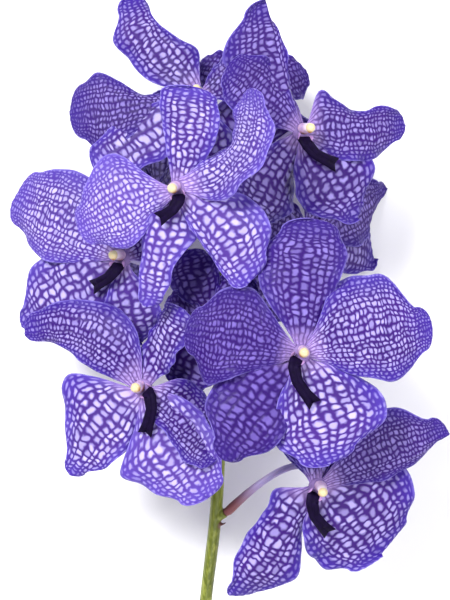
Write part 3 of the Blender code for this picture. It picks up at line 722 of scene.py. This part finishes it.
def blade(bloom, tepal, u, v):
    """The middle of the blade, and its facing, u across it and v along it."""
    front = bloom_axes(bloom)[2]
    place = np.asarray(bloom["place"])
    tip = tip_of(bloom, tepal)
    out = unit(tip - place - front * np.dot(tip - place, front))
    start = place + out * CLAW_START + front * tepal["raise"]
    line = tip + unit(tip - start) * tepal["beak"] - start
    across = unit(np.cross(line, front))
    bow = 4 * (tepal["arch"] * unit(np.cross(across, line)) + tepal["sway"] * across)
    t = v[..., None]
    midrib = start + line * t + bow * t * (1 - t)
    heading = unit(line + bow * (1 - 2 * t))
    side = unit(np.cross(heading, front))
    facing = np.cross(side, heading)
    opened = smooth(v, 0.0, OPENING)
    roll = np.radians(tepal["roll"] * opened)[..., None]
    side, facing = (
        side * np.cos(roll) + facing * np.sin(roll),
        facing * np.cos(roll) - side * np.sin(roll),
    )
    half = half_width(tepal, u, v) + TIP_HALF_WIDTH * v
    over, rise = arc(
        half * np.abs(u),
        math.radians(tepal["crease"]) * opened,
        math.radians(tepal["cup"]) * np.abs(u) * opened,
    )
    ripple = 2 * np.pi * (tepal["waves"] * v + tepal["phase"] + 0.3 * np.sign(u))
    rise = rise + tepal["wave"] * u * u * np.sin(ripple) * opened
    frill = 2 * np.pi * (FRILLS * v + 3 * tepal["phase"] + 0.4 * np.sign(u))
    rise = rise + FRILL * np.abs(u) ** 5 * np.sin(frill) * opened
    rise = rise + PLEAT * np.cos(2 * np.pi * half * u / PLEAT_SPACING) * opened
    rise = rise - GROOVE * np.exp(-((half * u / GROOVE_WIDTH) ** 2)) * (1 - v)
    points = midrib + (over * np.sign(u))[..., None] * side + rise[..., None] * facing
    points[..., 2] = np.maximum(points[..., 2], BLADE / 2)
    return points, facing


def tepal_body(bloom, tepal, seed):
    """A tepal as a closed blade whose rim is thinner than its middle."""
    u = np.linspace(-1, 1, POINTS_ACROSS)[None]
    v = np.sin(np.linspace(0, np.pi / 2, POINTS_ALONG))[:, None]
    u, v = np.broadcast_arrays(u, v)
    points, facing = blade(bloom, tepal, u, v)
    normal = np.cross(np.gradient(points, axis=0), np.gradient(points, axis=1))
    normal = normal * np.sign((normal * facing).sum(-1, keepdims=True))
    normal = unit(normal + 1e-6 * facing)
    thick = RIM_BLADE + (BLADE - RIM_BLADE) * (1 - np.abs(u) ** 5) * (1 - v**8)
    lift = normal * thick[..., None] / 2
    rings = np.concatenate((points + lift, (points - lift)[:, ::-1]), axis=1)
    rings[..., 2] = np.maximum(rings[..., 2], 0)
    half = half_width(tepal, u, v)
    widest = half.max()
    length = np.linalg.norm(points[-1, 0] - points[0, POINTS_ACROSS // 2])
    across = u * widest * (np.maximum(half, 0.1) / widest) ** NET_FAN
    file, rung = (share * tepal["cell"] for share in CELL_SHAPE)
    net = np.stack(
        (
            across * (1 + RIM_CROWDING * u * u) / file + SEED_STEP[0] * seed,
            length * v * (1 + TIP_CROWDING * v**3) / rung + SEED_STEP[1] * seed,
            np.full_like(u, seed),
        ),
        -1,
    )
    # the third mark is the tepal's paleness, which carries its painted light and shade
    edge = np.stack((np.abs(u), v, np.full_like(u, tepal["pale"])), -1)
    marks = {
        "net": np.concatenate((net, net[:, ::-1]), axis=1),
        "edge": np.concatenate((edge, edge[:, ::-1]), axis=1),
    }
    return body("tepal", rings, marks)


def receptacle_body(bloom):
    """The low round knob in the middle that the five claws run into."""
    front = bloom_axes(bloom)[2]
    t = np.linspace(-1, 1, RECEPTACLE_RINGS)[:, None]
    line = np.asarray(bloom["place"]) + front * t * RECEPTACLE_HEIGHT / 2
    reach = RECEPTACLE_RADIUS * np.clip(1 - np.abs(t) ** 4, 0.03, 1) ** 0.5
    rings = rings_along(line, np.repeat(reach, RECEPTACLE_SIDES, 1), side=turned(bloom, 0))
    claw = np.zeros((*rings.shape[:2], 3))
    return body("receptacle", rings, {"net": claw, "edge": claw})


def tepal_skin():
    """Waxy epidermis: violet veins meet in a net, and the flesh between them is pale.

    It shows as bright cells that shrink and turn blue towards the rim, and as long
    lilac streaks at the claw, with a painted highlight along the rim. A tepal in shade
    gets painted shade, deep veins and dull cells, and on a lit one painted light pales
    the veins. The cells stand a little proud of the veins."""
    made, tree, shader = principled(
        "Waxy tepal epidermis", Roughness=0.45, IOR=1.4, Specular_IOR_Level=0.22,
        Subsurface_Weight=0.1, Subsurface_Scale=1.0 * MM, Subsurface_Radius=(0.7, 0.4, 1.0),
    )
    net = add(tree, "Attribute", attribute_name="net").outputs["Vector"]
    edge = add(tree, "Attribute", attribute_name="edge").outputs["Vector"]
    edge = add(tree, "SeparateXYZ", {0: edge})
    sway = add(
        tree, "TexNoise", {"Vector": net, "Scale": 0.3, "Detail": 1.0}, noise_dimensions="2D"
    )
    bowed = add(
        tree, "VectorMath",
        {0: sway.outputs["Color"], 1: (1.3, 1.3, 0.0), 2: net},
        operation="MULTIPLY_ADD",
    )
    kink = add(
        tree, "TexNoise", {"Vector": net, "Scale": 1.1, "Detail": 1.0}, noise_dimensions="2D"
    )
    bent = add(
        tree, "VectorMath",
        {0: kink.outputs["Color"], 1: (0.45, 0.55, 0.0), 2: bowed.outputs[0]},
        operation="MULTIPLY_ADD",
    )
    way = add(tree, "SeparateXYZ", {0: bent.outputs[0]})
    along, gaps = way.outputs["X"], []
    for uneven in (FILE_CHANCE, RUNG_CHANCE):
        gap, own = (
            add(
                tree, "TexVoronoi", {"W": along, "Scale": 1.0, "Randomness": uneven},
                voronoi_dimensions="1D", feature=feature,
            )
            for feature in ("DISTANCE_TO_EDGE", "F1")
        )
        gaps.append(gap.outputs["Distance"])
        chance = add(tree, "SeparateXYZ", {0: own.outputs["Color"]})
        along = add(
            tree, "Math", {0: chance.outputs["X"], 1: 97.0, 2: way.outputs["Y"]},
            operation="MULTIPLY_ADD",
        ).outputs[0]
    inner = add(
        tree, "Math", {0: gaps[0], 1: gaps[1], 2: CELL_ROUNDING}, operation="SMOOTH_MIN"
    )
    side_rim, tip_rim = (
        add(
            tree, "MapRange", {"Value": edge.outputs[axis], "From Min": low, "From Max": 1.0},
            interpolation_type="SMOOTHSTEP",
        )
        for axis, low in (("X", 0.5), ("Y", 0.75))
    )
    rim = add(
        tree, "Math", {0: side_rim.outputs[0], 1: tip_rim.outputs[0]}, operation="MAXIMUM"
    )
    vein = add(tree, "Math", {0: rim.outputs[0], 1: 0.06, 2: 0.05}, operation="MULTIPLY_ADD")
    soft = add(tree, "Math", {0: vein.outputs[0], 1: 0.27}, operation="ADD")
    pale = add(
        tree, "MapRange",
        {"Value": inner.outputs[0], "From Min": vein.outputs[0], "From Max": soft.outputs[0]},
        interpolation_type="SMOOTHSTEP",
    )
    luck = add(tree, "Math", {0: chance.outputs["X"], 1: 0.45, 2: 0.5}, operation="MULTIPLY_ADD")
    dim = add(tree, "Math", {0: rim.outputs[0], 1: -0.55, 2: 1.0}, operation="MULTIPLY_ADD")
    share = add(tree, "Math", {0: luck.outputs[0], 1: dim.outputs[0]}, operation="MULTIPLY")
    # painted light and shade: the cells show less on a tepal in shade and fully on a lit one
    filled = add(
        tree, "MapRange",
        {"Value": edge.outputs["Z"], "From Min": 0.3, "To Min": 0.6, "To Max": 1.0},
    )
    share = add(tree, "Math", {0: share.outputs[0], 1: filled.outputs[0]}, operation="MULTIPLY")
    share = add(
        tree, "Math", {0: share.outputs[0], 1: pale.outputs[0]}, operation="MULTIPLY",
        use_clamp=True,
    )
    cloud = add(
        tree, "TexNoise", {"Vector": net, "Scale": 0.16, "Detail": 2.0}, noise_dimensions="2D"
    )
    violet = add(
        tree, "Mix",
        {0: cloud.outputs["Fac"], 6: linear("#270656"), 7: linear("#411c7a")},
        data_type="RGBA",
    )
    # painted shade and painted light from the tepal's paleness, and a painted highlight on the
    # rim
    painted_shade, painted_light, painted_rim_highlight = (
        add(
            tree, "MapRange",
            {"Value": edge.outputs[axis], "From Min": low, "From Max": high, "To Max": most},
        )
        for axis, low, high, most in (
            ("Z", 0.9, 0.3, 0.75),
            ("Z", 0.8, 1.4, 0.45),
            # painted highlight: a light line along the very rim
            ("X", 0.95, 1.0, 0.45),
        )
    )
    # painted shade: the cells of a tepal in shade dull towards a darker violet
    cell = add(
        tree, "Mix", {0: painted_shade.outputs[0], 6: linear("#bfb4f4"), 7: linear("#694bbc")},
        data_type="RGBA",
    )
    claw = add(
        tree, "MapRange",
        {"Value": edge.outputs["Y"], "From Max": 0.2, "To Min": 0.7, "To Max": 0.0},
        interpolation_type="SMOOTHSTEP",
    )
    furrow = add(tree, "MapRange", {"Value": gaps[0], "From Max": 0.3, "To Min": 0.35})
    streak = add(
        tree, "Math", {0: claw.outputs[0], 1: furrow.outputs[0]}, operation="MULTIPLY"
    )
    layers = (
        (rim, linear("#3b248e")),  # bluer veins near the rim
        (painted_shade, linear("#24065a")),  # painted shade: deep veins of a tepal in shade
        (painted_light, linear("#7058b8")),  # painted light: paled veins of a lit tepal
        (share, cell.outputs[2]),  # the cells
        (painted_rim_highlight, linear("#8f82dc")),  # painted highlight along the rim
        (streak, linear("#b193cf")),  # the lilac streaks of the claw
    )
    colour = violet.outputs[2]
    for layer, over in layers:
        mix = add(
            tree, "Mix", {0: layer.outputs[0], 6: colour, 7: over}, data_type="RGBA"
        )
        colour = mix.outputs[2]
    tree.links.new(colour, shader.inputs["Base Color"])
    swell = add(
        tree, "MapRange", {"Value": inner.outputs[0], "From Max": 0.3},
        interpolation_type="SMOOTHSTEP",
    )
    bump = add(
        tree, "Bump", {"Height": swell.outputs[0], "Strength": 0.6, "Distance": 0.22 * MM}
    )
    tree.links.new(bump.outputs[0], shader.inputs["Normal"])
    return made


skin = tepal_skin()
for number, bloom in BLOOMS.items():
    parts = [receptacle_body(bloom)]
    for seed, (kind, grown) in enumerate(KINDS.items()):
        tepal = {**PLAIN, **grown, **TEPALS[number].get(kind, {})}
        # painted light and shade: each tepal's paleness is scaled down where it lies in shade
        # and up where it is lit
        tepal["pale"] *= PAINTED_LIGHT_AND_SHADE[number].get(kind, PAINTED_LIGHT_AND_SHADE[number]["all"])
        parts.append(tepal_body(bloom, tepal, 5 * number + seed))
    made = join(f"perianth_fine_{number}", parts)
    made.data.materials.append(skin)
    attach(made, "root")
    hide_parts(f"perianth_{number}")


# Columns
# In the middle of each bloom stands a short fleshy column. It is mauve with a flared
# foot, and on the lip's side it is hollowed, with an orange-brown mark at its base.
COLUMN_LENGTH = 5.0
COLUMN_RADII = (2.2, 1.8)
COLUMN_SHIFT = 1.2
COLUMN_SIDES = 48
COLUMN_RINGS = 26
FOOT_FLARE = 0.5
HOLLOW_DEPTH = 0.7
HOLLOW_PLACE = 0.62
HOLLOW_LENGTH = 0.2

# Where the end of each bloom's lip lies, clockwise from straight up as it is faced, how
# far round from there the foot is, beside the column, and how far out the lip ends.
LIPS = {
    1: {"lip": 190.0, "knee": 30.0, "lip_reach": 15.5},
    2: {"lip": 212.0, "knee": -62.0, "lip_reach": 13.5},
    3: {"lip": 133.0, "knee": 60.0, "lip_reach": 19.0},
    4: {"lip": 226.0, "knee": -50.0, "lip_reach": 16.5},
    5: {"lip": 165.0, "knee": 60.0, "lip_reach": 20.5},
    6: {"lip": 176.0, "knee": -62.0, "lip_reach": 18.3},
    7: {"lip": 163.0, "knee": 60.0, "lip_reach": 20.0},
    8: {"lip": 180.0, "knee": 0.0, "lip_reach": 15.5},
    9: {"lip": 160.0, "knee": 20.0, "lip_reach": 15.5},
    10: {"lip": 180.0, "knee": 0.0, "lip_reach": 15.5},
    11: {"lip": 200.0, "knee": 0.0, "lip_reach": 15.5},
}


def lip_side(bloom):
    """The way from the middle of the bloom to its lip's foot."""
    return turned(bloom, bloom["lip"] + bloom["knee"])


def seat(bloom, out):
    """A place on the front of the receptacle, a seam off it."""
    front = bloom_axes(bloom)[2]
    forward = front * (RECEPTACLE_HEIGHT / 2 + SEAM)
    return np.asarray(bloom["place"]) + lip_side(bloom) * out + forward


def column_flesh():
    """Firm, moist flesh: mauve fading to near white at the shoulders, flecked, with an
    orange-brown mark."""
    made, tree, shader = principled(
        "Column flesh", Roughness=0.38, IOR=1.42, Subsurface_Weight=0.2,
        Subsurface_Scale=1.0 * MM,
    )
    spot = add(tree, "Attribute", attribute_name="spot").outputs["Vector"]
    spot = add(tree, "SeparateXYZ", {0: spot})
    place = add(tree, "TexCoord").outputs["Object"]
    fleck = add(tree, "TexNoise", {"Vector": place, "Scale": 0.9 / MM, "Detail": 3.0})
    mauve = add(
        tree, "Mix",
        {0: fleck.outputs["Fac"], 6: linear("#9a6fa8"), 7: linear("#d8bfd9")},
        data_type="RGBA",
    )
    shoulder = add(
        tree, "Mix", {0: spot.outputs["Y"], 6: mauve.outputs[2], 7: linear("#e2d2e0")},
        data_type="RGBA",
    )
    marked = add(
        tree, "Mix", {0: spot.outputs["X"], 6: shoulder.outputs[2], 7: linear("#93491b")},
        data_type="RGBA",
    )
    tree.links.new(marked.outputs[2], shader.inputs["Base Color"])
    bump = add(
        tree, "Bump", {"Height": fleck.outputs["Fac"], "Strength": 0.3, "Distance": 0.1 * MM}
    )
    tree.links.new(bump.outputs[0], shader.inputs["Normal"])
    return made


for number, lip in LIPS.items():
    BLOOMS[number].update(lip)
skin = column_flesh()
for number, bloom in BLOOMS.items():
    front = bloom_axes(bloom)[2]
    t = np.linspace(0, 1, COLUMN_RINGS)[:, None]
    angle = np.linspace(0, 2 * np.pi, COLUMN_SIDES, endpoint=False)[None]
    towards_lip = np.clip(np.cos(angle), 0, 1) ** 4
    reach = COLUMN_RADII[0] + (COLUMN_RADII[1] - COLUMN_RADII[0]) * t
    reach = reach + FOOT_FLARE * (1 - smooth(t, 0.0, 0.3)) * np.abs(np.sin(angle)) ** 3
    hollow = np.exp(-(((t - HOLLOW_PLACE) / HOLLOW_LENGTH) ** 2))
    reach = reach - HOLLOW_DEPTH * towards_lip * hollow
    reach = reach * np.sqrt(np.clip(1 - np.clip((t - 0.85) / 0.15, 0, 1) ** 2 * 0.35, 0, 1))
    rings = rings_along(
        seat(bloom, -COLUMN_SHIFT) + front * COLUMN_LENGTH * t, reach,
        side=lip_side(bloom),
    )
    mark = np.stack(
        np.broadcast_arrays(
            towards_lip * (1 - smooth(t, 0.15, 0.45)), smooth(t, 0.35, 0.9), 0 * t
        ),
        -1,
    )
    made = body(f"column_fine_{number}", rings, {"spot": mark})
    made.data.materials.append(skin)
    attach(made, "root")
    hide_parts(f"column_{number}")


# Anther caps
# A small cream cap closes the end of the column over the pollen. It is a smooth dome,
# parted by a shallow groove, with a tan beak on the lip's side.
CAP_RADIUS = 1.9
CAP_HEIGHT = 2.2
CAP_RINGS = 20
CAP_GROOVE = 0.22
CAP_BEAK = 0.25


def cap_skin():
    """Smooth, waxy cream tissue with a tan beak, a little see-through at its rim."""
    made, tree, shader = principled(
        "Waxy anther cap", Roughness=0.35, IOR=1.42, Subsurface_Weight=0.25,
        Subsurface_Scale=0.8 * MM,
    )
    spot = add(tree, "Attribute", attribute_name="spot").outputs["Vector"]
    spot = add(tree, "SeparateXYZ", {0: spot})
    cloud = add(
        tree, "TexNoise",
        {"Vector": add(tree, "TexCoord").outputs["Object"], "Scale": 0.7 / MM, "Detail": 2.0},
    )
    cream = add(
        tree, "Mix",
        {0: cloud.outputs["Fac"], 6: linear("#cbb583"), 7: linear("#e0d3ae")},
        data_type="RGBA",
    )
    tan = add(
        tree, "Mix", {0: spot.outputs["X"], 6: cream.outputs[2], 7: linear("#a8652a")},
        data_type="RGBA",
    )
    tree.links.new(tan.outputs[2], shader.inputs["Base Color"])
    bump = add(
        tree, "Bump", {"Height": cloud.outputs["Fac"], "Strength": 0.2, "Distance": 0.1 * MM}
    )
    tree.links.new(bump.outputs[0], shader.inputs["Normal"])
    return made


skin = cap_skin()
for number, bloom in BLOOMS.items():
    front = bloom_axes(bloom)[2]
    t = np.sin(np.linspace(0, np.pi / 2 - 0.02, CAP_RINGS))[:, None]
    angle = np.linspace(0, 2 * np.pi, COLUMN_SIDES, endpoint=False)[None]
    towards_lip = np.clip(np.cos(angle), 0, 1) ** 6
    reach = CAP_RADIUS * np.sqrt(1 - t**2)
    reach = reach + CAP_BEAK * towards_lip * (1 - smooth(t, 0.0, 0.5))
    parted = np.clip(1 - np.abs(np.sin(angle)) / 0.3, 0, 1) * smooth(reach, 0.2, 1.2)
    reach = reach - CAP_GROOVE * parted * (1 - towards_lip)
    rings = rings_along(
        seat(bloom, -COLUMN_SHIFT) + front * (COLUMN_LENGTH + SEAM + CAP_HEIGHT * t),
        reach, side=lip_side(bloom),
    )
    mark = np.stack(
        np.broadcast_arrays(towards_lip * (1 - smooth(t, 0.2, 0.75)), 0 * t, 0 * t), -1
    )
    made = body(f"anther_cap_fine_{number}", rings, {"spot": mark})
    made.data.materials.append(skin)
    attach(made, "root")
    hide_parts(f"anther_cap_{number}")


# Lips
# The lip is a thick, near-black tongue. It rises beside the column between two small
# mauve side lobes, bends outwards along two keels, and ends in a fork.

# Each row is out from the bloom's middle if the lip is as short as it gets, forward of
# the middle, and half its width there.
LIP_ROWS = (
    (2.7, 2.0, 1.9),
    (3.0, 3.9, 2.6),
    (4.9, 5.4, 2.5),
    (8.3, 5.7, 2.2),
    (12.0, 5.0, 2.3),
    (15.5, 3.8, 2.9),
)
LIP_THICKNESS = 1.7
LIP_NOTCH = 2.6
KNEE_EASE = 1.5
LIP_POINTS_ACROSS = 25
LIP_POINTS_ALONG = 44
LIP_SINK = 0.25
ROW_EASE = 0.55
KEEL_HEIGHT = 0.32
KEEL_PLACE = 0.45
KEEL_WIDTH = 0.2
LOBE_HEIGHT = 3.0
LOBE_WIDTH = 2.6
LOBE_THICKNESS = 0.6
LOBE_FOOT = (2.7, 2.0, 2.6)
LOBE_LEAN = (-0.8, 0.9)
LOBE_RINGS = 18
LOBE_SIDES = 24


def lip_flesh():
    """Thick flesh, so full of dark violet sap that it looks black, with a satin gloss
    and velvet-like ridges; the side lobes stay mauve."""
    made, tree, shader = principled(
        "Dark lip flesh", Roughness=0.55, IOR=1.4, Specular_IOR_Level=0.07,
    )
    part = add(tree, "Attribute", attribute_name="lobe").outputs["Vector"]
    part = add(tree, "SeparateXYZ", {0: part})
    cloud = add(
        tree, "TexNoise",
        {"Vector": add(tree, "TexCoord").outputs["Object"], "Scale": 0.5 / MM, "Detail": 3.0},
    )
    dark = add(
        tree, "Mix",
        {0: cloud.outputs["Fac"], 6: linear("#05020c"), 7: linear("#1a0c34")},
        data_type="RGBA",
    )
    mauve = add(
        tree, "Mix", {0: part.outputs["X"], 6: dark.outputs[2], 7: linear("#b48cc4")},
        data_type="RGBA",
    )
    tree.links.new(mauve.outputs[2], shader.inputs["Base Color"])
    bump = add(
        tree, "Bump", {"Height": cloud.outputs["Fac"], "Strength": 0.4, "Distance": 0.15 * MM}
    )
    tree.links.new(bump.outputs[0], shader.inputs["Normal"])
    return made


def lip_rows(bloom):
    """The lip's rows: right and up on the bloom's face, forward of it, half the width."""
    rows = np.array(LIP_ROWS)
    foot = rows[0, 0]
    share = (rows[:, 0] - foot) / (rows[-1, 0] - foot)
    reach = foot + share * (bloom["lip_reach"] - foot)
    clock = np.radians(bloom["lip"] + bloom["knee"] * (1 - share) ** KNEE_EASE)
    return np.column_stack((reach * np.sin(clock), reach * np.cos(clock), rows[:, 1:]))


def tongue(bloom):
    rows = lip_rows(bloom)
    right, up, front = bloom_axes(bloom)
    u = np.linspace(-1, 1, LIP_POINTS_ACROSS)[None]
    v = np.linspace(0, 1, LIP_POINTS_ALONG)[:, None]
    at = v * (len(rows) - 1)
    knots = np.arange(len(rows))
    near = np.exp(-(((at - knots) / ROW_EASE) ** 2))
    near = near / near.sum(axis=1, keepdims=True)
    eased = near @ rows
    sharp = np.stack([np.interp(at[:, 0], knots, rows[:, i]) for i in range(4)], -1)
    blend = smooth(np.minimum(v, 1 - v), 0.0, 0.12)
    row = sharp * (1 - blend) + eased * blend
    path = row[:, :1] * right + row[:, 1:2] * up
    forward, half = row[:, 2:3], row[:, 3:]
    out = unit(np.gradient(path, axis=0))
    across = np.cross(out, front)
    notch = LIP_NOTCH * (1 - np.abs(u)) * np.clip(at - len(rows) + 2, 0, None)
    keel = np.exp(-(((np.abs(u) - KEEL_PLACE) / KEEL_WIDTH) ** 2)) * smooth(v, 0.1, 0.4)
    keel = KEEL_HEIGHT * keel - LIP_SINK
    points = (
        np.asarray(bloom["place"])
        + path[:, None]
        - out[:, None] * notch[..., None]
        + front * (forward + keel)[..., None]
        + across[:, None] * (half * u)[..., None]
    )
    normal = unit(np.cross(np.gradient(points, axis=0), np.gradient(points, axis=1)))
    normal = normal * np.sign((normal * (front + 0.4 * out[:, None])).sum(-1, keepdims=True))
    thick = LIP_THICKNESS * np.sqrt(np.clip(1 - (np.abs(u) * 0.97) ** 4, 0, 1))
    thick = thick * np.sqrt(np.clip(1 - (np.abs(2 * v - 1) * 0.985) ** 14, 0, 1))
    lift = normal * (thick / 2)[..., None]
    rings = np.concatenate((points + lift, (points - lift)[:, ::-1]), axis=1)
    return body("tongue", rings, {"lobe": np.zeros((*rings.shape[:2], 3))})


def side_lobe(bloom, way):
    """A small upright ear on the left, -1, or right, 1, of the lip's foot."""
    out, front = lip_side(bloom), bloom_axes(bloom)[2]
    across = np.cross(out, front) * way
    t = np.linspace(0, 1, LOBE_RINGS)[:, None]
    foot = np.asarray(bloom["place"]) + np.array(LOBE_FOOT) @ (out, across, front)
    line = foot + front * LOBE_HEIGHT * t + out * LOBE_LEAN[0] * t
    line = line + across * LOBE_LEAN[1] * np.sin(np.pi * t / 2)
    reach = LOBE_WIDTH / 2 * np.sqrt(np.clip(1 - (0.98 * t) ** 2.5, 0, 1))
    rings = rings_along(
        line, np.repeat(reach, LOBE_SIDES, 1), flat=LOBE_THICKNESS / LOBE_WIDTH, side=across
    )
    mark = np.ones((*rings.shape[:2], 3)) * smooth(t, 0.0, 0.35)[..., None]
    return body("ear", rings, {"lobe": mark})


skin = lip_flesh()
for number, bloom in BLOOMS.items():
    pieces = [tongue(bloom), side_lobe(bloom, -1), side_lobe(bloom, 1)]
    made = join(f"lip_fine_{number}", pieces)
    made.data.materials.append(skin)
    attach(made, "root")
    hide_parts(f"lip_{number}")


# Table top, light and camera
# A plain white table, lit from above by three large soft lamps, and seen straight from
# above by a long lens, because the spray lies on its back.
FLOOR_SIZE = 8.0
CAMERA_HEIGHT = 2500.0
FRAME_PLANE = 70.0
FRAME_HEIGHT = 234.0
SENSOR = 36.0
LAMPS = (
    {"place": (-1.2, 1.3, 2.6), "size": 1.1, "power": 135.0},
    {"place": (2.0, 0.2, 2.4), "size": 2.0, "power": 58.0},
    {"place": (0.2, -2.4, 2.2), "size": 2.0, "power": 46.0},
)


def table_paint():
    """Matt white laminate, with a faint mottle that only just shows."""
    made, tree, shader = principled("Matt white laminate", Roughness=0.6, IOR=1.45)
    mottle = add(
        tree, "TexNoise",
        {"Vector": add(tree, "TexCoord").outputs["Object"], "Scale": 0.003 / MM, "Detail": 3.0},
    )
    white = add(
        tree, "Mix",
        {0: mottle.outputs["Fac"], 6: linear("#fbfbfc"), 7: linear("#fdfdfe")},
        data_type="RGBA",
    )
    tree.links.new(white.outputs[2], shader.inputs["Base Color"])
    return made


shape = bmesh.new()
bmesh.ops.create_grid(shape, x_segments=1, y_segments=1, size=FLOOR_SIZE / 2)
mesh = bpy.data.meshes.new("table_top")
shape.to_mesh(mesh)
shape.free()
floor = bpy.data.objects.new("table_top", mesh)
bpy.context.scene.collection.objects.link(floor)
floor.data.materials.append(table_paint())

aim = Vector((cad_box[0] + cad_box[1]) / 2)
for number, lamp in enumerate(LAMPS):
    data = bpy.data.lights.new(f"softbox_{number}", "AREA")
    data.shape = "SQUARE"
    data.size = lamp["size"]
    data.energy = lamp["power"]
    made = bpy.data.objects.new(f"softbox_{number}", data)
    made.location = lamp["place"]
    made.rotation_mode = "QUATERNION"
    made.rotation_quaternion = (aim - made.location).to_track_quat("-Z", "Y")
    bpy.context.scene.collection.objects.link(made)

world = bpy.data.worlds.new("Studio")
world.use_nodes = True
world.node_tree.nodes["Background"].inputs["Color"].default_value = linear("#fbfbff")
world.node_tree.nodes["Background"].inputs["Strength"].default_value = 0.4
bpy.context.scene.world = world
bpy.context.scene.view_settings.view_transform = "Standard"

lens = SENSOR * (CAMERA_HEIGHT - FRAME_PLANE) / FRAME_HEIGHT
data = bpy.data.cameras.new("camera")
data.sensor_width = SENSOR
data.lens = lens
data.clip_end = 10.0
camera = bpy.data.objects.new("camera", data)
camera.location = (np.array((0.0, 0.0, CAMERA_HEIGHT)) - FOOTPRINT_MIDDLE) * MM
bpy.context.scene.collection.objects.link(camera)
bpy.context.scene.camera = camera
